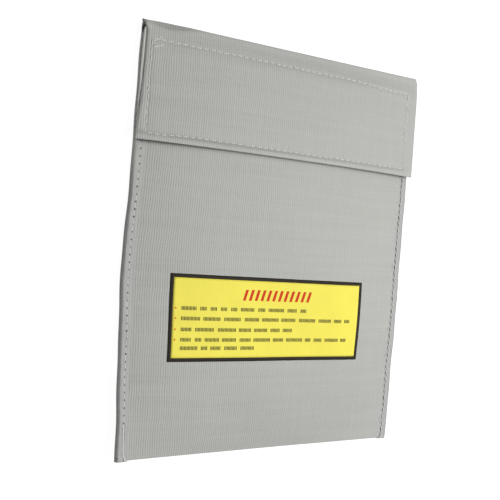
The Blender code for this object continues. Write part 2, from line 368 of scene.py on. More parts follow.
def noise(tree, place, scale, detail=2.0):
    values = {"Vector": place, "Scale": scale, "Detail": detail}
    return add_node(tree, "ShaderNodeTexNoise", values, noise_dimensions="3D").outputs[0]


def mix_colour(tree, amount, first, second):
    values = {0: amount, 6: first, 7: second}
    return add_node(tree, "ShaderNodeMix", values, data_type="RGBA").outputs[2]


def rgba(red, green, blue):
    return (red, green, blue, 1.0)


def remap(tree, value, low, high, new_low, new_high):
    values = {0: value, 1: low, 2: high, 3: new_low, 4: new_high}
    return add_node(tree, "ShaderNodeMapRange", values).outputs[0]


def cloth_place(tree, turn=0.0):
    """Place on the flat cloth in metres: as it is, turned by an angle, and the turned one's two parts."""
    uv = add_node(tree, "ShaderNodeUVMap", uv_map="cloth").outputs[0]
    turned = add_node(tree, "ShaderNodeVectorRotate", {"Vector": uv, "Angle": turn},
                      rotation_type="Z_AXIS").outputs[0]
    parts = add_node(tree, "ShaderNodeSeparateXYZ", {0: turned})
    return uv, turned, parts.outputs[0], parts.outputs[1]


def dress(tree, shader, base, tone, rough, relief, depth):
    """Give the shader its colour times a tone, its roughness and its relief."""
    shade = add_node(tree, "ShaderNodeVectorMath", {0: base, "Scale": tone}, operation="SCALE")
    bump = add_node(tree, "ShaderNodeBump", {"Height": relief, "Distance": depth, "Strength": 1.0})
    tree.links.new(shade.outputs[0], shader.inputs["Base Color"])
    tree.links.new(rough, shader.inputs["Roughness"])
    tree.links.new(bump.outputs[0], shader.inputs["Normal"])


def weave_height(tree, u, v, pitch, rib):
    """Plain weave of flat yarns: 0 in the gaps and about 1 on top of a yarn."""
    sine_u, sine_v = (calc(tree, "SINE", times(tree, part, math.pi / pitch)) for part in (u, v))
    round_u, round_v = (calc(tree, "POWER", calc(tree, "ABSOLUTE", sine), 0.7) for sine in (sine_u, sine_v))
    over = remap(tree, times(tree, sine_u, sine_v), -0.60, -0.25, 0.0, 1.0)
    warp = times(tree, round_u, calc(tree, "MULTIPLY_ADD", round_v, 0.15, 0.85))
    weft = times(tree, round_v, calc(tree, "MULTIPLY_ADD", round_u, rib, 1.0 - rib))
    return calc(tree, "ADD", times(tree, warp, over), times(tree, weft, calc(tree, "SUBTRACT", 1.0, over)))


def cloth_tone(tree, turned, across, height, contrast, marks):
    """Brightness of the cloth: dark gaps, clearest at the left, uneven yarns, grain, stains and painted shade
    (painted light where negative).
    """
    along, cross = scaled(tree, turned, (1.0, 0.03, 1.0)), scaled(tree, turned, (0.03, 1.0, 1.0))
    clarity = remap(tree, across, -EDGE_X, EDGE_X, 2.2, 0.40)
    tone = calc(tree, "SUBTRACT", 1.0, times(tree, remap(tree, height, 0.0, 0.8, contrast, 0.0), clarity))
    grain, stain, painted_shading = marks
    fields = ((noise(tree, along, 900.0, 1.0), 0.028), (noise(tree, cross, 700.0, 1.0), 0.028),
              (grain, 0.06), (stain, 0.035), (noise(tree, cross, 190.0, 2.0), 0.026))
    for field, amount in fields:
        tone = times(tree, tone, remap(tree, field, 0.25, 0.75, 1.0 - amount, 1.0 + amount))
    # painted shading darkens the tone as painted shade; negative values lighten it as painted light
    return times(tree, tone, calc(tree, "SUBTRACT", 1.0, painted_shading))


def cloth_material(name, colour, pitch=WEAVE_PITCH, turn=0.0, rib=0.75, depth=0.00007, contrast=0.20,
                   roughness=0.52, sheen=0.12):
    """Coated glass-fibre cloth with a plain weave; its mesh carries its wear and painted highlights, and the
    painted shade and painted light on it.
    """
    material, tree, shader = material_tree(name)
    uv, turned, across, along = cloth_place(tree, turn)
    shift = times(tree, calc(tree, "SUBTRACT", noise(tree, uv, 60.0), 0.5), pitch * 1.6)
    height = weave_height(tree, calc(tree, "ADD", across, shift), calc(tree, "ADD", along, shift), pitch, rib)
    grain, stain = noise(tree, uv, 5200.0, 3.0), noise(tree, uv, 22.0, 3.0)
    wear_and_highlight, painted_shading = (add_node(tree, "ShaderNodeAttribute", attribute_name=label).outputs["Fac"]
                  for label in ("wear_and_highlight", "painted_shading"))
    red, green, blue = colour
    base = mix_colour(tree, remap(tree, stain, 0.35, 0.65, 0.0, 0.5), rgba(red, green, blue),
                      rgba(red * 1.01, green, blue * 0.97))
    # lighter where rubbed, and where a highlight is painted
    wear_and_highlight_mix = times(tree, wear_and_highlight, remap(tree, grain, 0.3, 0.7, 0.4, 1.0), clamp=True)
    base = mix_colour(tree, wear_and_highlight_mix, base, rgba(0.52, 0.525, 0.50))
    rough = calc(tree, "ADD", remap(tree, height, 0.0, 1.0, roughness + 0.12, roughness),
                 remap(tree, stain, 0.3, 0.7, -0.05, 0.05))
    dress(tree, shader, base, cloth_tone(tree, turned, across, height, contrast, (grain, stain, painted_shading)),
          calc(tree, "ADD", rough, times(tree, wear_and_highlight, 0.12)),
          calc(tree, "ADD", height, times(tree, grain, 0.22)), depth)
    shader.inputs["Sheen Weight"].default_value = sheen
    shader.inputs["Sheen Roughness"].default_value = 0.45
    shader.inputs["Specular IOR Level"].default_value = 0.42
    return material


def print_material(name, colour, scuff):
    """Ink on the cloth: it fills the weave only partly, so the yarns still show."""
    material, tree, shader = material_tree(name)
    uv, _, u, v = cloth_place(tree)
    height = weave_height(tree, u, v, WEAVE_PITCH, 0.75)
    grain, patch = noise(tree, uv, 4200.0, 3.0), noise(tree, uv, 70.0, 2.0)
    tone = times(tree, remap(tree, height, 0.0, 0.8, 0.93, 1.0), remap(tree, patch, 0.3, 0.7, 0.97, 1.03))
    thin = remap(tree, grain, 0.60, 0.75, 0.0, scuff)
    base = mix_colour(tree, thin, rgba(*colour), rgba(0.42, 0.42, 0.38))
    dress(tree, shader, base, tone, remap(tree, grain, 0.3, 0.7, 0.55, 0.70),
          calc(tree, "ADD", height, times(tree, grain, 0.15)), 0.00004)
    shader.inputs["Specular IOR Level"].default_value = 0.15
    return material


def thread_material(name, colour):
    """Twisted thread: slanting plies along its length."""
    material, tree, shader = material_tree(name)
    uv, _, u, v = cloth_place(tree)
    slant = calc(tree, "ADD", times(tree, u, 2.0 * math.pi / TWIST), times(tree, v, 2.0 * math.pi / ROPE))
    ply = calc(tree, "ABSOLUTE", calc(tree, "SINE", slant))
    fluff = noise(tree, uv, 3000.0, 3.0)
    tone = times(tree, remap(tree, ply, 0.0, 0.7, 0.72, 1.0), remap(tree, fluff, 0.3, 0.7, 0.9, 1.08))
    dress(tree, shader, colour, tone, remap(tree, fluff, 0.3, 0.7, 0.5, 0.7), ply, 0.00005)
    shader.inputs["Sheen Weight"].default_value = 0.3
    return material


def tape_material(name, colour, roughness):
    """Woven nylon ground of the hook tape and the loop tape."""
    material, tree, shader = material_tree(name)
    uv, _, u, v = cloth_place(tree)
    height = weave_height(tree, u, v, TAPE_WEAVE, 0.4)
    fluff = noise(tree, uv, 1800.0, 3.0)
    tone = times(tree, remap(tree, height, 0.0, 0.8, 0.6, 1.0), remap(tree, fluff, 0.3, 0.7, 0.75, 1.3))
    dress(tree, shader, colour, tone, remap(tree, fluff, 0.3, 0.7, roughness - 0.1, roughness + 0.1),
          calc(tree, "ADD", height, fluff), 0.00008)
    shader.inputs["Sheen Weight"].default_value = 0.4
    return material


def hole_material(name):
    """Shadow and lint in a needle hole."""
    material, tree, shader = material_tree(name)
    lint = noise(tree, cloth_place(tree)[0], 6000.0, 2.0)
    base = mix_colour(tree, lint, rgba(0.07, 0.07, 0.068), rgba(0.14, 0.14, 0.135))
    tree.links.new(base, shader.inputs["Base Color"])
    tree.links.new(remap(tree, lint, 0.3, 0.7, 0.8, 1.0), shader.inputs["Roughness"])
    return material


OUTER = cloth_material("outer_cloth", (0.406, 0.413, 0.389))
BIAS = {"pitch": 0.0009, "turn": math.radians(45), "rib": 0.6, "depth": 0.00006}     # cut on the slant
LEFT_BINDING = cloth_material("left_binding_cloth", (0.390, 0.394, 0.380), contrast=0.16, **BIAS)
# the right strip's colour is a little darker than the left's: painted shade
RIGHT_BINDING = cloth_material("right_binding_cloth", (0.385, 0.390, 0.378), contrast=0.10, **BIAS)
LINING = cloth_material("lining_cloth", (0.34, 0.345, 0.33), roughness=0.66, sheen=0.2, contrast=0.16)
THREAD_MATERIAL = thread_material("thread", (0.70, 0.71, 0.685))
HOOK_MATERIAL = tape_material("hook_tape", (0.018, 0.018, 0.020), 0.55)
LOOP_MATERIAL = tape_material("loop_tape", (0.022, 0.022, 0.024), 0.85)
YELLOW = print_material("panel_yellow", (0.86, 0.765, 0.105), 0.08)
BROWN = print_material("panel_brown", (0.026, 0.021, 0.014), 0.15)
RED_INK = print_material("red_ink", (0.60, 0.040, 0.006), 0.10)
DARK_INK = print_material("dark_ink", (0.022, 0.024, 0.013), 0.15)
ORANGE_INK = print_material("orange_ink", (0.72, 0.20, 0.02), 0.10)
HOLE = hole_material("needle_hole")


# ------------------------------------------------------------------ mesh helpers

def new_object(name, vertices, faces, material, uv):
    mesh = bpy.data.meshes.new(name)
    mesh.from_pydata(vertices.tolist(), [], [list(face) for face in faces])
    layer = mesh.uv_layers.new(name="cloth")
    index = np.zeros(len(mesh.loops), dtype=np.int32)
    mesh.loops.foreach_get("vertex_index", index)
    layer.data.foreach_set("uv", np.asarray(uv, dtype=np.float32)[index].ravel())
    work = bmesh.new()
    work.from_mesh(mesh)
    bmesh.ops.recalc_face_normals(work, faces=work.faces)
    work.to_mesh(mesh)
    work.free()
    mesh.shade_smooth()
    mesh.materials.append(material)
    made = bpy.data.objects.new(name, mesh)
    bpy.context.scene.collection.objects.link(made)
    return made


def along_rows(points):
    """Length of cloth from the first row to each row, column by column."""
    steps = np.linalg.norm(np.diff(points, axis=0), axis=-1)
    return np.concatenate([np.zeros((1, points.shape[1])), np.cumsum(steps, axis=0)])


def drop_loose_points(made):
    work = bmesh.new()
    work.from_mesh(made.data)
    bmesh.ops.delete(work, geom=[v for v in work.verts if not v.link_faces], context="VERTS")
    work.to_mesh(made.data)
    work.free()


def cloth_piece(name, points, material, thickness, wear_and_highlight=None, painted_shading=None, hole=None, offset=0.0):
    """Make one ply from a grid of places (rows, columns, 3), with its thickness."""
    rows, columns, _ = points.shape
    uv = np.stack([points[..., 0], along_rows(points)], -1)
    index = np.arange(rows * columns).reshape(rows, columns)
    quads = np.stack([index[:-1, :-1], index[:-1, 1:], index[1:, 1:], index[1:, :-1]], -1)
    if hole is not None:
        quads = quads[~hole]
    made = new_object(name, settle(points).reshape(-1, 3), quads.reshape(-1, 4), material,
                      uv.reshape(-1, 2))
    if hole is not None:
        drop_loose_points(made)
    # wear with painted highlights, and painted shade and light, go to the mesh as attributes
    for label, values in (("wear_and_highlight", wear_and_highlight), ("painted_shading", painted_shading)):
        if values is not None:
            layer = made.data.attributes.new(label, "FLOAT", "POINT")
            layer.data.foreach_set("value", np.asarray(values, dtype=np.float32).ravel())
    shell = made.modifiers.new("thickness", "SOLIDIFY")
    shell.thickness = thickness
    shell.offset = offset
    shell.use_even_offset = False
    return made


def fit(piece, body, slot, *nodes):
    """Attach a piece to the body that carries it and hide the solids it stands for; a piece given no body
    stays unattached. The slot, its finish, is not used.
    """
    if body:
        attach(piece, body)
    if nodes:
        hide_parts(*nodes)
    return piece


def tubes(name, rings, material, uv=None):
    """Make closed tubes from an array of rings (tubes, rings, sides, 3) of the unsettled bag."""
    rings = settle(rings)
    count, length, sides, _ = rings.shape
    base = (np.arange(count) * length * sides)[:, None, None]
    ring = (np.arange(length - 1) * sides)[None, :, None]
    side = np.arange(sides)[None, None, :]
    following = (side + 1) % sides
    quads = np.stack([base + ring + side, base + ring + following,
                      base + ring + sides + following, base + ring + sides + side], -1)
    first = (base + side)[:, 0, ::-1]
    last = (base + (length - 1) * sides + side)[:, 0]
    faces = list(quads.reshape(-1, 4)) + list(first) + list(last)
    if uv is None:
        along = np.linalg.norm(np.diff(rings.mean(2), axis=1), axis=-1).cumsum(1)
        along = np.concatenate([np.zeros((count, 1)), along], 1) + np.arange(count)[:, None] * 0.0013
        around = np.arange(sides) * 0.0002
        uv = np.stack(np.broadcast_arrays(along[..., None], around[None, None, :]), -1)
    return new_object(name, rings.reshape(-1, 3), faces, material, uv.reshape(-1, 2))


# ------------------------------------------------------------------ stitches

ROUND = np.arange(8) * math.pi / 4       # corners of a thread's and a needle hole's section


def stitches(name, centres, headings, surface, side=1.0, proud=(-0.4, 0.8), slant=0.0):
    """Lay one stitch at each centre: a short thread whose two ends dive into the cloth.

    proud is how far the stitches' middles stand above the cloth, from least to most, in thread radii.
    """
    count = len(centres)
    along = np.array([-1.0, -0.88, -0.62, -0.25, 0.25, 0.62, 0.88, 1.0])
    size = STITCH_LENGTH / 2 * (1.0 + 0.07 * DRAWS.standard_normal(count))
    heading = headings + slant + 0.05 * DRAWS.standard_normal(count)
    middle = centres + 0.00008 * DRAWS.standard_normal((count, 2))
    stand = DRAWS.uniform(*proud, count)[:, None]
    lift = THREAD * (stand * (1.0 - along ** 4) - 1.3 * along ** 4)
    axis = np.stack([np.cos(heading), np.sin(heading)], -1)
    line = middle[:, None, :] + (size[:, None] * along)[..., None] * axis[:, None, :]
    level = surface(line[..., 0], line[..., 1]) + side * lift
    taper = THREAD * np.sqrt(1.0 - 0.8 * along ** 4)[None, :, None]
    x = line[..., 0, None] - axis[:, None, None, 1] * taper * np.cos(ROUND)
    y = line[..., 1, None] + axis[:, None, None, 0] * taper * np.cos(ROUND)
    return tubes(name, grid(x, y, level[..., None] + taper * np.sin(ROUND)), THREAD_MATERIAL)


def needle_holes(name, centres, surface, radius, lift=0.00003):
    """Dark dimples where the needle went through."""
    size = radius * (1.0 + 0.2 * DRAWS.standard_normal((len(centres), 1)))
    x = centres[:, :1] + size * np.cos(ROUND)
    y = centres[:, 1:] + size * np.sin(ROUND)
    rings = [grid(x, y, surface(x, y) + level) for level in (-2.0 * lift, lift)]
    return tubes(name, np.stack(rings, 1), HOLE)


def run(start, end, pitch=STITCH_PITCH):
    """Evenly spaced places along a straight line, half a pitch from each end, and its heading."""
    start, end = np.array(start), np.array(end)
    count = max(1, round(float(np.linalg.norm(end - start)) / pitch))
    share = (np.arange(count) + 0.5) / count
    heading = math.atan2(end[1] - start[1], end[0] - start[0])
    return start + share[:, None] * (end - start), np.full(count, heading)


def joined(runs):
    """Several runs of stitches as one: their places and their headings."""
    return tuple(np.concatenate(parts) for parts in zip(*runs))


def rectangle_run(low, high):
    corner = [(low[0], low[1]), (high[0], low[1]), (high[0], high[1]), (low[0], high[1])]
    return joined([run(corner[i], corner[(i + 1) % 4]) for i in range(4)])


def stitch_ends(centres, headings):
    return centres + STITCH_PITCH / 2 * np.stack([np.cos(headings), np.sin(headings)], -1)


def sew(label, body, path, top, under, **look):
    """Stitches on both sides of the cloth, which stand for its needle thread and its bobbin thread."""
    front = stitches(label + "_stitches", *path, top, **look)
    back = stitches(label + "_back_stitches", *path, under, side=-1.0)
    fit(front, body, "thread", label + "_needle_thread")
    fit(back, body, "thread", label + "_bobbin_thread")


# ------------------------------------------------------------------ the sleeve

CLOTH_STEP = 0.0017          # size of the cloth's mesh, which is finer along the stitches
FINE_STEP, FINE_REACH = 0.0003, 0.0015
ACROSS = stations(-PLY_EDGE_X, PLY_EDGE_X, CLOTH_STEP, [-SEAM_X, SEAM_X], 0.0005, 0.0025)
ROLL_Y = FOLD_END_Y + FOLD_DEPTH         # where the bottom fold runs into the panels
QUARTER = math.pi / 2


def bottom_fold(inset, side):
    """Half of the bottom fold, from its outermost line to the front (side 1) or to the back (side -1)."""
    turn = np.linspace(0.0, QUARTER, 7)[:, None]
    top, bottom = front_height(ACROSS, ROLL_Y), back_height(ACROSS, ROLL_Y)
    middle, half = (top + bottom) / 2, (top - bottom) / 2 - inset
    return grid(ACROSS, ROLL_Y - (FOLD_DEPTH - inset) * np.cos(turn), middle + side * half * np.sin(turn))


def front_rows(rows, inset):
    rows = rows[:, None]
    return grid(ACROSS, rows, front_height(ACROSS, rows) - inset)


def front_ply(name, depth, material):
    """Front panel from the outermost line of the bottom fold to the mouth; depth 1 is the lining."""
    inset = depth * PITCH
    rows = stations(ROLL_Y, MOUTH_Y - inset, 0.0019, [ROLL_Y, FLAP_EDGE_Y], 0.0004, 0.004)[1:]
    grids = [bottom_fold(inset, 1.0), front_rows(rows, inset)]
    if depth == 0:
        grids.append(mouth_hem())
    points = np.concatenate(grids)
    return cloth_piece(name, points, material, PLY, wear_and_highlight=front_wear(points), painted_shading=step_painted_shade(points))


def step_painted_shade(points):
    """Painted shade in the step where the flap's free edge lies on the front, most at the left."""
    x, y = points[..., 0], points[..., 1]
    away = y - free_edge(x) - 0.0003
    reach = np.where(away < 0.0, *STEP_REACH)
    return between(*STEP_PAINTED_SHADE, rightness(x) ** 0.7) * bell(away, 0.0, reach)


def free_edge(x):
    """The free edge of the flap, bowed up a little in the middle."""
    return FLAP_EDGE_Y - 0.0014 - 0.0006 * (x / EDGE_X) ** 2


def mouth_hem():
    """The outer cloth is turned in over the lining at the mouth."""
    turn = np.linspace(0.0, math.pi, 7)[1:, None]
    level = front_height(ACROSS, MOUTH_Y) - PITCH * (1.0 - np.cos(turn))
    bend = grid(ACROSS, MOUTH_Y + PITCH * np.sin(turn), level)
    return np.concatenate([bend, front_rows(MOUTH_Y - np.linspace(0.0, HEM, 5)[1:], 2.0 * PITCH)])


def front_wear(points):
    """Rubbed along the bottom fold."""
    return 0.35 * bell(points[..., 1], FOLD_END_Y, 0.0016)


def back_ply(name, depth, material):
    """Lower half of the bottom fold, back panel, and the cloth up to the middle of the flap's fold."""
    inset = depth * PITCH
    share = np.linspace(0.0, 1.0, 96)[1:-1, None]
    y = between(ROLL_Y, CREST_Y - crest_depth(ACROSS), share)
    panel = grid(ACROSS, y, back_height(ACROSS, y) + inset)
    crest = crest_arc(ACROSS / PLY_EDGE_X, np.linspace(-QUARTER, 0.0, 10), inset)
    points = np.concatenate([bottom_fold(inset, -1.0), panel, crest])
    # painted shade on the lining inside the fold's open left end
    painted_shading = 0.6 * swell(points[..., 0], points[..., 1], FOLD_SHADE_PLACE, FOLD_SHADE_REACH) * depth
    made = cloth_piece(name, points, material, PLY, wear_and_highlight=front_wear(points), painted_shading=painted_shading)
    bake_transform(made)
    return made


def fold_edge(share, amount):
    """Place across the bag of the cloth's edge share: in the seam at amount 0, as wide as the flap at 1."""
    wide = np.where(share < 0.0, FLAP_LEFT_TOP, FLAP_RIGHT_TOP - CORNER_CUT)
    return share * between(PLY_EDGE_X, wide, amount)


def end_flare(share):
    return FOLD_FLARE * np.clip(-share, 0.0, 1.0) ** 14


def crest_arc(share, turns, inset):
    """Cloth of the flap's fold: half an ellipse from the back panel up to the flap."""
    share_grid, turn_grid = np.meshgrid(share, turns)
    x = fold_edge(share_grid, ramp((turn_grid + QUARTER) / QUARTER))
    above = turn_grid / QUARTER
    x = x - np.where(above > 0.0, between(1.0, FLARE_TOP, above), np.cos(turn_grid)) * end_flare(share_grid)
    depth = crest_depth(x)
    top, bottom = crest_top(x), back_height(x, HALF_LENGTH)
    middle, half = (top + bottom) / 2, (top - bottom) / 2 - inset
    out, up = np.cos(turn_grid), np.sin(turn_grid)
    flat = 0.75 * crest_band(x, CREST_TONE_REACH) * (above > 0.0)
    y = CREST_Y - depth + (depth - inset) * between(out, 1.0 - above, flat) + out * bows(x, CREST_BUMPS)
    return grid(x, y, middle + half * between(up, above, flat))


def flap_edge_x(share, y):
    """Place across the flap of the edge share, which flares towards the free edge."""
    down = np.clip((HALF_LENGTH - y) / (HALF_LENGTH - FLAP_EDGE_Y), 0.0, 1.0)
    left = between(FLAP_LEFT_TOP, FLAP_LEFT_LOW, down ** 3)
    right = between(FLAP_RIGHT_TOP, FLAP_RIGHT_LOW, down)
    right -= CORNER_CUT * np.clip(1.0 - (HALF_LENGTH - y) / CORNER_LENGTH, 0.0, 1.0)
    return share * np.where(share < 0.0, left, right)


def flap_shares(reach=1.0):
    half = FLAP_HIGH[0]
    ring = [FLAP_RING_LOW[0] / half, FLAP_RING_HIGH[0] / half]
    return stations(-reach, reach, CLOTH_STEP / half, ring, FINE_STEP / half, FINE_REACH / half)


def flap_rows(low, high):
    return stations(low, high, 0.0016, [FLAP_RING_LOW[1], FLAP_RING_HIGH[1]], FINE_STEP, FINE_REACH)[::-1]


def flap_crest(shares, inset):
    """Upper half of the fold, from its middle to the flap."""
    return crest_arc(shares, np.linspace(0.0, QUARTER, 10), inset)


def flap_outer(name):
    """Outer cloth from the middle of the fold over the crest to the free edge, edges turned down."""
    shares = flap_shares()
    crest = flap_crest(shares, 0.0)
    share_grid, row_grid = np.meshgrid(shares, flap_rows(FLAP_EDGE_Y, HINGE_Y)[1:])
    corner = FLARE_TOP * end_flare(share_grid) * ramp((row_grid - HINGE_Y + 0.0030) / 0.0030)
    x = flap_edge_x(share_grid, row_grid) - corner
    amount = (HINGE_Y - row_grid) / (HINGE_Y - FLAP_EDGE_Y)
    y = between(crest[-1, :, 1], free_edge(x), amount)
    panel = grid(x, y, flap_height(x, y))
    points = np.concatenate([crest, panel, flap_lip(panel[-1])])
    turn_down_sides(points)
    made = cloth_piece(name, points, OUTER, PLY, wear_and_highlight=flap_wear_and_highlight(points), painted_shading=crest_painted_shade(points))
    bend_with_flap(made)
    return made


def crest_painted_shade(points):
    """Painted shade on the roll of the fold, greyer than the flap, most where it is widest."""
    x, y = points[..., 0], points[..., 1]
    beyond = ramp((y - CREST_Y + crest_depth(x) + 0.0002) / 0.0006)
    return beyond * between(0.05, 0.20, crest_band(x, CREST_TONE_REACH))


def flap_lip(last_row):
    """The lower edge curls over into its hem."""
    turn = np.linspace(0.0, QUARTER, 5)[1:, None]
    x, y, z = last_row.T
    return grid(x, y - EDGE_ROUND * np.sin(turn), z - EDGE_ROUND * (1.0 - np.cos(turn)))


def turn_down_sides(points):
    """The two outermost columns curl down over the side hems."""
    for column, drop in ((0, EDGE_ROUND), (1, EDGE_ROUND * 0.3), (-1, EDGE_ROUND), (-2, EDGE_ROUND * 0.3)):
        face = points[:, column, 1] < HINGE_Y - 0.004
        points[face, column, 2] -= drop


def flap_wear_and_highlight(points):
    """Rubbed along the crest and the free edge, with a painted highlight at the upper left corner."""
    y = points[..., 1]
    corner = 0.7 * swell(points[..., 0], y, HIGHLIGHT_CORNER, (0.0014, 0.0014))
    return 0.30 * bell(y, HALF_LENGTH - 0.0012, 0.0016) + corner + 0.30 * bell(y, FLAP_EDGE_Y, 0.0010)


def bend_with_flap(made):
    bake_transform(made)


def flap_lining(name):
    """Lining of the flap, which tucks under the hems."""
    shares = flap_shares(LINING_SHARE)
    crest = flap_crest(shares, PITCH)
    share_grid, row_grid = np.meshgrid(shares, flap_rows(FLAP_EDGE_Y + HEM, HINGE_Y)[1:])
    x = flap_edge_x(share_grid, row_grid)
    amount = (HINGE_Y - row_grid) / (HINGE_Y - FLAP_EDGE_Y - HEM)
    y = between(crest[-1, :, 1], FLAP_EDGE_Y + HEM, amount)
    points = np.concatenate([crest, grid(x, y, flap_height(x, y) - PITCH)])
    made = cloth_piece(name, points, LINING, PLY)
    bend_with_flap(made)
    return made


def lower_hem(name):
    """Turned-under edge along the flap's free edge."""
    x = flap_edge_x(flap_shares(), FLAP_EDGE_Y)
    low = free_edge(x)
    turn = np.linspace(0.0, QUARTER, 5)[:, None]
    level = flap_height(x, low) - EDGE_ROUND - (PITCH - EDGE_ROUND) * np.sin(turn)
    bend = grid(x, low - EDGE_ROUND * np.cos(turn), level)
    y = low + np.linspace(0.0, HEM - 0.0004, 8)[1:, None]
    return cloth_piece(name, np.concatenate([bend, grid(x, y, flap_height(x, y) - PITCH)]), OUTER, PLY)


def side_hem(name, side):
    """Turned-under edge along one side of the flap."""
    y = flap_rows(FLAP_EDGE_Y + HEM, HINGE_Y - 0.005)[:, None]
    inward = np.concatenate([[0.0, 0.0001, 0.0003], np.linspace(0.0008, HEM, 7)])
    x = flap_edge_x(side, y) - side * inward
    drop = np.interp(inward, [0.0, 0.0003], [EDGE_ROUND, PITCH])
    return cloth_piece(name, grid(x, y, flap_height(x, y) - drop), OUTER, PLY)


def left_facing(name):
    """Doubled cloth that shows below the left edge of the flap, with painted light on it."""
    shares = np.linspace(-1.0 - FACING_REACH / FLAP_LEFT_TOP, -0.96, 9)
    share_grid, y = np.meshgrid(shares, np.linspace(FACING_START_Y, FACING_END_Y, 30))
    amount = (FACING_START_Y - y) / (FACING_START_Y - FACING_END_Y)
    x = flap_edge_x(share_grid, y) + FACING_REACH * (0.8 * amount ** 3 + 0.3 * np.exp(-amount / 0.06))
    painted_light = between(*FACING_PAINTED_LIGHT, ramp((amount - 0.55) / 0.40))
    points = grid(x, y, flap_height(x, y) - FACING_DROP)
    # the wear value and the negative painted shading both paint light on the strip
    made = cloth_piece(name, points, OUTER, PLY, wear_and_highlight=np.full_like(x, 0.6), painted_shading=painted_light)
    bend_with_flap(made)
    return made


# ------------------------------------------------------------------ bindings

LEFT_SIDE_SHADING = (0.33, -0.26)           # painted shade on a binding's outer edge low down, and painted light (negative) beside the flap
# painted shade on the right binding's outer edge, low down and beside the flap
RIGHT_SIDE_SHADING = (0.30, 0.30)
MOUTH_PAINTED_SHADE = 0.93            # painted shade at the fold's open left end
MOUTH_PAINTED_SHADE_Y = 0.1117
RAGGED = 0.00006             # unevenness of the strip's raw edges


def binding_section(side):
    """The strip's section from its back inner edge round the seam to its front one: x, z and face.

    face is -1 on the back leaf, 0 round the edge and 1 on the front leaf.
    """
    inner = SEAM_X - 0.0002
    low, high = seam_level(0), seam_level(5)
    radius = (high - low) / 2
    lean = LEFT_LEAN if side < 0.0 else RIGHT_LEAN
    turn_x = EDGE_X - PLY / 2 - radius - 0.6 * lean
    leaf = stations(inner, turn_x, 0.0008, [STITCH_X], 0.00025, 0.0010)
    which = int(side > 0.0)
    press = EDGE_PRESS[which] * bell(leaf, inner, PRESS_REACH[which])
    turn = np.linspace(0.0, math.pi, 13)[1:-1]
    side_x = turn_x + radius * np.sin(turn) + lean * (1.0 + np.cos(turn)) / 2
    x = np.concatenate([leaf, side_x, leaf[::-1]])
    z = np.concatenate([low + press, (low + high) / 2 - radius * np.cos(turn), (high - press)[::-1]])
    return x, z, np.repeat((-1.0, 0.0, 1.0), (len(leaf), len(turn), len(leaf)))


def binding_relief(x, y, face):
    """The needle pulls both leaves in at each hole, and they wave a little between."""
    beat = np.abs(((y - LOWER_END_Y) / STITCH_PITCH) % 1.0 - 0.5) * STITCH_PITCH
    pull = 0.00008 * bell(x, STITCH_X, 0.0009)
    pull = pull + 0.00026 * bell(beat, 0.0, 0.00055) * bell(x, STITCH_X, 0.00035)
    wave = 0.00005 * np.sin(y / 0.0031) + 0.00004 * np.sin(y / 0.0013 + 2.0)
    return wave * np.abs(face) * ((x - STITCH_X) / 0.003) - face * pull


def left_binding_painted_shade(x, y, face):
    """Painted shade in the mouth of the fold at the strip's upper end, and in the groove beside the lock
    thread.
    """
    mouth = MOUTH_PAINTED_SHADE * bell(y, MOUTH_PAINTED_SHADE_Y, 0.0015)
    mouth += 0.45 * ramp((y - 0.1080) / 0.0010) * ramp((MOUTH_PAINTED_SHADE_Y - y) / 0.0010)
    groove = 0.40 * bell(x, STITCH_X + SEAM_SHIFT - 0.0005, 0.0003)
    groove = groove * ramp((LOWER_END_Y + LOCK_LENGTH - y) / 0.001)
    return np.maximum(np.minimum(mouth, 0.95), groove * (face > 0.0)) * (face > -0.5)


def binding(name, side, material, side_shading):
    """Strip folded round a side seam, with raw inner edges and one row of stitches."""
    section_x, section_z, section_face = binding_section(side)
    rows = np.arange(LOWER_END_Y, BINDING_HIGH[1], 0.0005)
    x, y = np.meshgrid(section_x, rows)
    face = np.broadcast_to(section_face, x.shape)
    z = section_z + binding_relief(x, y, face)
    shoulder = LEFT_SHOULDER * np.exp(-(((y - SHOULDER_Y) / SHOULDER_REACH) ** 4)) * (side < 0.0)
    swollen = x + (0.00012 * np.sin(y / 0.0047) + shoulder) * (1.0 - np.abs(face))
    ragged = DRAWS.standard_normal(len(rows)) * RAGGED
    swollen[:, 0] += ragged
    swollen[:, -1] += ragged[::-1]
    points = grid(side * swollen, y, z)
    # painted shade round the strip's outer edge; a negative value paints light
    turned = between(*side_shading, ramp((y - 0.025) / 0.055)) * (1.0 - np.abs(face))
    painted_shading = np.where(turned < 0.0, turned, np.maximum(step_painted_shade(points) * (face > 0.0), turned))
    if side < 0.0:
        painted_shading = np.maximum(painted_shading, left_binding_painted_shade(x, y, face))
    return cloth_piece(name, points, material, PLY, painted_shading=painted_shading)


# ------------------------------------------------------------------ printed panel

# Places from the panel's centre. A row is its middle height and where it ends.
HATCH_PITCH, HATCH_WIDTH = 0.00080, 0.00044
WORD_LEAST, WORD_MOST, WORD_GAP = 0.004, 0.012, 0.0016
ROW_HEIGHT = 0.0020
ROW_START = -0.0554
ROWS = [(0.0053, 0.0254), (-0.0003, 0.0548), (-0.0063, 0.0154), (-0.0119, 0.0565), (-0.0165, -0.0063)]
HEADING_START, HEADING_END = -0.0193, 0.0262
HEADING_LOW, HEADING_HEIGHT = 0.0105, 0.0062
STRIPES = 12
STRIPE_SHARE, STRIPE_SLANT = 0.45, 0.28
BULLET_U, BULLET_RADIUS = -0.0587, 0.00055


def panel_place(u, v):
    """Place on the bag of a point of the panel, measured from the panel's centre."""
    return PANEL_CENTRE[0] + u, PANEL_CENTRE[1] + v


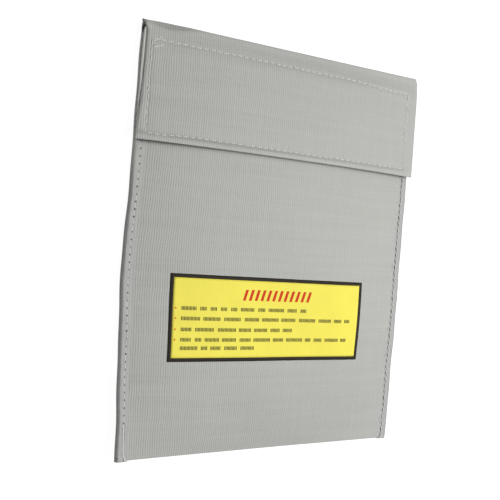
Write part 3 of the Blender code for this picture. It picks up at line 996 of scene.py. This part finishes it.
def panel_sheet(name, half, material, window=None):
    """A printed rectangle on the cloth, with a window cut out of it if one is given."""
    fine_u, fine_v = ([], []) if window is None else ([-window[0], window[0]], [-window[1], window[1]])
    u = np.sort(np.concatenate([np.linspace(-half[0], half[0], 81), fine_u]))
    v = np.sort(np.concatenate([np.linspace(-half[1], half[1], 33), fine_v]))
    x, y = panel_place(*np.meshgrid(u, v))
    hole = None
    if window is not None:
        inside_u = np.abs((u[1:] + u[:-1]) / 2) < window[0]
        inside_v = np.abs((v[1:] + v[:-1]) / 2) < window[1]
        hole = inside_v[:, None] & inside_u[None, :]
    points = grid(x, y, front_height(x, y) + PLY / 2 + PRINT / 2)
    return cloth_piece(name, points, material, PRINT, hole=hole, offset=1.0)


def inked_shapes(name, outlines, material):
    """Make flat marks on the panel from outlines (marks, corners, 2) in the panel's own plane."""
    outlines = np.asarray(outlines, dtype=float)
    x, y = panel_place(outlines[..., 0], outlines[..., 1])
    base = front_height(x, y) + PLY / 2 + 2.0 * PRINT
    rings = np.stack([grid(x, y, base), grid(x, y, base + PRINT)], 1)
    made = tubes(name, rings, material, rings[..., :2])
    made.data.shade_flat()
    fit(made, "sleeve", "panel_brown")


def bar(left, low, width, height, slant=0.0):
    """Outline of one upright stroke, leaning by slant."""
    lean, high, right = height * slant, low + height, left + width
    return [(left, low), (right, low), (right + lean, high), (left + lean, high)]


def hatched_words(start, end, middle, height):
    """A row of hatched blocks that stands where a line of small print would be."""
    strokes, place = [], start
    while place < end - 0.003:
        word = min(DRAWS.uniform(WORD_LEAST, WORD_MOST), end - place)
        strokes += [bar(place + n * HATCH_PITCH, middle - height / 2, HATCH_WIDTH, height)
                    for n in range(int(word / HATCH_PITCH))]
        place += word + WORD_GAP
    return strokes


def panel_marks():
    """A striped heading, four bullets and five hatched rows in place of the printed warning."""
    strokes = []
    for middle, end in ROWS:
        strokes += hatched_words(ROW_START, end, middle, ROW_HEIGHT)
    inked_shapes("panel_hatched_rows", strokes, DARK_INK)
    pitch = (HEADING_END - HEADING_START) / STRIPES
    stripes = [bar(HEADING_START + n * pitch, HEADING_LOW, pitch * STRIPE_SHARE, HEADING_HEIGHT, STRIPE_SLANT)
               for n in range(STRIPES)]
    inked_shapes("panel_striped_heading", stripes, RED_INK)
    turns = np.arange(10) * math.pi / 5
    dots = [[(BULLET_U + BULLET_RADIUS * math.cos(t), middle + BULLET_RADIUS * math.sin(t)) for t in turns]
            for middle, _ in ROWS[:4]]
    inked_shapes("panel_bullets", dots, ORANGE_INK)


# ------------------------------------------------------------------ tapes

def loop_surface(x, y):
    return front_height(x, y) + float(LOOP_HIGH[2]) - CROWN_Z


def hook_surface(x, y):
    return flap_height(x, y) - (FLAP_Z - float(HOOK_LOW[2]))


def tape_sheet(name, low, high, surface, side, material):
    """Ground of a tape, whose hooks or loops stand on the given surface."""
    x, y = np.meshgrid(np.linspace(low[0], high[0], 110), np.linspace(low[1], high[1], 34))
    return cloth_piece(name, grid(x, y, surface(x, y) - side * TAPE / 2), material, TAPE)


def fibres(name, low, high, surface, side, spacing, path, thread, material):
    """Stand many small bent fibres on a tape; path is one fibre's points, along and up."""
    columns, rows = (np.arange(low[n] + TAPE_MARGIN, high[n] - TAPE_MARGIN, spacing) for n in (0, 1))
    foot_x, foot_y = (part.ravel() for part in np.meshgrid(columns, rows))
    count = len(foot_x)
    foot_x = foot_x + DRAWS.uniform(-0.15, 0.15, count) * spacing
    foot_y = foot_y + DRAWS.uniform(-0.15, 0.15, count) * spacing
    heading = DRAWS.uniform(0.0, 2.0 * math.pi, count)[:, None, None]
    along, up = path[:, 0], path[:, 1] * side
    turns = np.arange(4) * math.pi / 2
    slope = np.arctan2(np.gradient(up), np.gradient(along))[:, None]
    out = along[:, None] - thread * np.sin(slope) * np.cos(turns)
    height = up[:, None] + thread * np.cos(slope) * np.cos(turns)
    across = thread * np.sin(turns)
    x = foot_x[:, None, None] + out * np.cos(heading) - across * np.sin(heading)
    y = foot_y[:, None, None] + out * np.sin(heading) + across * np.cos(heading)
    return tubes(name, grid(x, y, surface(foot_x, foot_y)[:, None, None] + height), material)


TAPE_MARGIN = 0.0012         # selvedge with no hooks or loops
HOOK_PATH = np.array([(0.0, -0.05), (0.0, 0.16), (0.05, 0.27), (0.14, 0.30), (0.21, 0.22)]) * 0.001
LOOP_PATH = np.array([(-0.28, -0.04), (-0.24, 0.12), (0.0, 0.20), (0.24, 0.12), (0.28, -0.04)]) * 0.001


def make_tapes():
    """Loop tape on the front panel and hook tape under the flap, each with its fibres."""
    tapes = (("loop_tape", "sleeve", LOOP_LOW, LOOP_HIGH, loop_surface, 1.0, LOOP_MATERIAL,
              "_pile", 0.00135, LOOP_PATH, 0.00006),
             ("hook_tape", "flap", HOOK_LOW, HOOK_HIGH, hook_surface, -1.0, HOOK_MATERIAL,
              "_hooks", 0.0015, HOOK_PATH, 0.00007))
    for name, body, low, high, surface, side, material, fibre, spacing, path, thread in tapes:
        ground = tape_sheet(name + "_ground", low, high, surface, side, material)
        stand = fibres(name + fibre, low, high, surface, side, spacing, path, thread, material)
        fit(ground, body, name, name)
        fit(stand, body, name)


# ------------------------------------------------------------------ seams

def seam_top(x, y):
    return seam_level(5) + PLY / 2 - THREAD_SINK


def seam_under(x, y):
    return seam_level(0) - PLY / 2 + THREAD_SINK


SEAM_STITCHES = 57           # in each side seam
TACK_PITCH = 0.0030          # stitches of the two crossing rows


def side_seams():
    """The left seam is sewn tight, so its needle holes show; the right one is looser and slants."""
    finish = ((-1.0, "left_seam", 0.06, (-0.9, 0.1), 0.00042), (1.0, "right_seam", 0.25, (0.1, 0.9), 0.00012))
    for side, label, slant, proud, hole in finish:
        x = side * (STITCH_X + SEAM_SHIFT)
        path = run((x, LOWER_END_Y), (x, LOWER_END_Y + STITCH_PITCH * SEAM_STITCHES))
        sew(label, "sleeve", path, seam_top, seam_under, slant=slant, proud=proud)
        places = stitch_ends(*path)
        if side < 0.0:
            places = places[places[:, 1] > LOWER_END_Y + LOCK_LENGTH - 0.0005]
        fit(needle_holes(label + "_holes", places, seam_top, hole), "sleeve", "thread")


def sewn_thread(name, points, wide=1.0, tall=1.0):
    """One length of thread along the points; wide and tall press it flat."""
    points = np.array(points)
    ahead = np.gradient(points, axis=0)
    ahead /= np.linalg.norm(ahead, axis=1, keepdims=True)
    across = np.cross(ahead, (0.0, 0.0, 1.0))
    across /= np.linalg.norm(across, axis=1, keepdims=True)
    above = np.cross(across, ahead)
    around, over = np.cos(ROUND)[None, :, None], np.sin(ROUND)[None, :, None]
    rings = points[:, None] + THREAD * (wide * across[:, None] * around + tall * above[:, None] * over)
    return fit(tubes(name, rings[None], THREAD_MATERIAL), "sleeve", "thread")


def seam_ends():
    """Lock stitches at the lower corners: on the left the thread runs on and wraps round the end."""
    top = seam_level(5) + PLY / 2 + THREAD * 0.35
    under = seam_level(0) - PLY / 2
    low, x = LOWER_END_Y, -STITCH_X - SEAM_SHIFT - 0.0003
    straight = [(x + 0.00004 * n + 0.00006 * math.sin(n), low + LOCK_LENGTH - n * 0.0012, top)
                for n in range(14)]
    straight[0] = (straight[0][0], straight[0][1], top - 2.0 * THREAD)
    wrap = [(x + 0.0016, low + 0.0012, top), (x + 0.0027, low + 0.0001, top + THREAD * 0.3),
            (x + 0.0032, low - 0.0003, (top + under) / 2), (x + 0.0034, low + 0.0004, under)]
    sewn_thread("left_seam_lock_thread", straight + wrap, wide=1.5, tall=0.6)
    lock = [(STITCH_X - 0.0008 + n * 0.0006, low + 0.0011, top - 0.0003 * (n in (0, 5))) for n in range(6)]
    sewn_thread("right_seam_lock_thread", lock)
    # a short dark thread in the needle holes' shadow material: painted shade in a pinch at the foot of the
    # left binding
    level = seam_level(4.7) + PLY / 2
    pinch = [(-EDGE_X + 0.0005 + 0.00014 * n, low + 0.0019 + 0.0001 * n, level) for n in range(5)]
    made = sewn_thread("left_binding_pinch_shadow", pinch, wide=1.5)
    made.data.materials[0] = HOLE


def mouth_seam():
    reach = SEAM_X - 0.001
    top = lambda x, y: front_height(x, y) + PLY / 2
    under = lambda x, y: front_height(x, y) - 2.0 * PITCH - PLY / 2
    sew("mouth", "sleeve", run((-reach, MOUTH_STITCH_Y), (reach, MOUTH_STITCH_Y)), top, under)


def corner_tack():
    """The machine's start and end at the upper left corner of the flap: two short crossing rows."""
    left, high = FLAP_RING_LOW[0], FLAP_RING_HIGH[1]
    return joined([run((left, high - 0.0020), (left + 0.0052, high + 0.0018), TACK_PITCH),
                   run((left + 0.0008, high - 0.0045), (left + 0.0060, high - 0.0024), TACK_PITCH)])


def tape_seams():
    ring = stitches("loop_tape_stitches", *rectangle_run(LOOP_THREAD_LOW, LOOP_THREAD_HIGH), loop_surface)
    fit(ring, "sleeve", "thread", "loop_tape_thread")
    centres, headings = joined([rectangle_run(FLAP_RING_LOW, FLAP_RING_HIGH), corner_tack()])
    centres[:, 1] -= row_slip(centres[:, 0], centres[:, 1])
    top = lambda x, y: flap_height(x, y) + PLY / 2
    sew("flap", "flap", (centres, headings), top, hook_surface)
    fit(needle_holes("flap_stitch_holes", stitch_ends(centres, headings), top, 0.00015), "flap", "thread")


# ------------------------------------------------------------------ put it together

def make_bag():
    """Cloth, bindings and panel, each with its body and the solids it stands for."""
    fit(front_ply("front_cloth", 0, OUTER), "sleeve", "outer_cloth", "sleeve_outer_cloth")
    fit(front_ply("front_lining", 1, LINING), "sleeve", "lining_cloth", "sleeve_lining")
    fit(back_ply("back_cloth", 0, OUTER), None, "outer_cloth", "sleeve_outer_cloth", "fold_outer_cloth")
    fit(back_ply("back_lining", 1, LINING), None, "lining_cloth", "sleeve_lining", "fold_lining")
    fit(flap_outer("flap_cloth"), None, "outer_cloth", "flap_outer_cloth", "fold_outer_cloth")
    fit(flap_lining("flap_lining_cloth"), None, "lining_cloth", "flap_lining", "fold_lining")
    fit(lower_hem("flap_lower_hem"), "flap", "outer_cloth")
    fit(side_hem("flap_left_hem", -1.0), "flap", "outer_cloth")
    fit(side_hem("flap_right_hem", 1.0), "flap", "outer_cloth")
    fit(left_facing("flap_left_facing"), None, "outer_cloth")
    left = binding("left_binding_strip", -1.0, LEFT_BINDING, LEFT_SIDE_SHADING)
    fit(left, "sleeve", "outer_cloth", "left_binding")
    right = binding("right_binding_strip", 1.0, RIGHT_BINDING, RIGHT_SIDE_SHADING)
    fit(right, "sleeve", "outer_cloth", "right_binding")
    field = panel_sheet("panel_field", FIELD_HALF, YELLOW)
    fit(field, "sleeve", "panel_yellow", "warning_panel_field")
    border = panel_sheet("panel_frame", PANEL_HALF, BROWN, window=FIELD_HALF)
    fit(border, "sleeve", "panel_brown", "warning_panel_frame")


def declare_sheets():
    """Every ply and tape with the size it was cut to; the sheet call leaves each piece as it is."""
    piece, sheet = bpy.data.objects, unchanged
    wide = 2.0 * PLY_EDGE_X
    front_length, back_length = MOUTH_Y - FOLD_END_Y, CREST_Y - FOLD_END_Y + 0.003
    flap_length = float(HALF_LENGTH - FLAP_EDGE_Y)
    flap_wide = FLAP_LEFT_LOW + FLAP_RIGHT_LOW
    hems = [piece["flap_" + label] for label in ("lower_hem", "left_hem", "right_hem", "left_facing")]
    sheet(piece["front_cloth"], (wide, front_length + HEM), "stretched", rests_on=["front_lining"])
    sheet(piece["front_lining"], (wide, front_length), "laid", rests_on=["back_lining"])
    sheet(piece["back_cloth"], (wide, back_length), "laid")
    sheet(piece["back_lining"], (wide, back_length), "laid", rests_on=["back_cloth"])
    sheet(piece["flap_cloth"], (flap_wide, flap_length + 0.004), "folded", rests_on=["hook_tape_ground"],
          with_pieces=hems)
    sheet(piece["flap_lining_cloth"], (LINING_SHARE * flap_wide, flap_length - HEM + 0.003), "folded",
          rests_on=["hook_tape_ground"])
    strip = (2.0 * (EDGE_X - SEAM_X) + 0.0025, float(BINDING_HIGH[1] - BINDING_LOW[1]))
    for label in ("left", "right"):
        sheet(piece[label + "_binding_strip"], strip, "folded", rests_on=["front_cloth", "back_cloth"])
    for label, low, high, under, fibre in (("hook", HOOK_LOW, HOOK_HIGH, "loop_tape_ground", "hooks"),
                                           ("loop", LOOP_LOW, LOOP_HIGH, "front_cloth", "pile")):
        size = (float(high[0] - low[0]), float(high[1] - low[1]))
        sheet(piece[label + "_tape_ground"], size, "laid", rests_on=[under],
              with_pieces=[piece[label + "_tape_" + fibre]])


make_bag()
panel_marks()
make_tapes()
side_seams()
seam_ends()
mouth_seam()
tape_seams()
declare_sheets()


# ------------------------------------------------------------------ camera, floor and light

LENS, SENSOR = 50.4, 36.0                # millimetres
CAMERA_PLACE = (-0.2022, 0.0070, 0.3578)
CAMERA_TURN = (-3.506, -27.25, 5.225)    # degrees
LAMP_PLACE, LAMP_SIZE, LAMP_POWER = (0.36, 0.01, 0.74), 0.5, 5.65
SKY_TOWARDS = (0.30, 0.00, 0.95)         # the sky is brightest on this side
FLOOR_GLOW = 0.92            # the floor is a light table, so the shadows on it stay faint
FLOOR_Z = -0.0010            # just low enough to clear the fold's cloth when the flap is open
FLOOR_REACH = 6.0


def make_camera():
    camera = bpy.data.objects.new("camera", bpy.data.cameras.new("camera"))
    camera.data.sensor_width = SENSOR
    camera.data.lens = LENS
    camera.data.clip_start = 0.01
    camera.location = CAMERA_PLACE
    camera.rotation_euler = [math.radians(angle) for angle in CAMERA_TURN]
    bpy.context.scene.collection.objects.link(camera)
    bpy.context.scene.camera = camera


def make_floor():
    mesh = bpy.data.meshes.new("floor")
    corner = [(x * FLOOR_REACH, y * FLOOR_REACH, FLOOR_Z) for x, y in ((-1, -1), (1, -1), (1, 1), (-1, 1))]
    mesh.from_pydata(corner, [], [(0, 1, 2, 3)])
    floor = bpy.data.objects.new("floor", mesh)
    material, tree, shader = material_tree("floor")
    grain = noise(tree, add_node(tree, "ShaderNodeTexCoord").outputs["Object"], 8.0)
    shade = mix_colour(tree, grain, rgba(0.17, 0.17, 0.17), rgba(0.20, 0.20, 0.20))
    tree.links.new(shade, shader.inputs["Base Color"])
    for socket, value in (("Roughness", 0.9), ("Specular IOR Level", 0.1),
                          ("Emission Color", rgba(1.0, 1.0, 1.0)), ("Emission Strength", FLOOR_GLOW)):
        shader.inputs[socket].default_value = value
    mesh.materials.append(material)
    bpy.context.scene.collection.objects.link(floor)


def make_world():
    """Even studio light from above and the right, fading towards the left and the horizon."""
    world = bpy.data.worlds.new("studio")
    world.use_nodes = True
    tree = world.node_tree
    direction = add_node(tree, "ShaderNodeTexCoord").outputs["Generated"]
    facing = add_node(tree, "ShaderNodeVectorMath", {0: direction, 1: SKY_TOWARDS},
                      operation="DOT_PRODUCT").outputs["Value"]
    strength = add_node(tree, "ShaderNodeMapRange", {0: facing, 1: 0.0, 2: 0.95, 3: 0.04, 4: 0.54},
                        interpolation_type="SMOOTHSTEP").outputs[0]
    tree.links.new(strength, tree.nodes["Background"].inputs["Strength"])
    tree.nodes["Background"].inputs["Color"].default_value = rgba(1.0, 1.0, 1.0)
    bpy.context.scene.world = world


def make_lamp():
    light = bpy.data.lights.new("key", "AREA")
    light.shape, light.size, light.energy = "DISK", LAMP_SIZE, LAMP_POWER
    lamp = bpy.data.objects.new("key", light)
    lamp.location = LAMP_PLACE
    lamp.rotation_euler = (-Vector(LAMP_PLACE)).to_track_quat("-Z", "Y").to_euler()
    bpy.context.scene.collection.objects.link(lamp)


make_camera()
make_floor()
make_world()
make_lamp()
bpy.context.scene.view_settings.view_transform = "Standard"
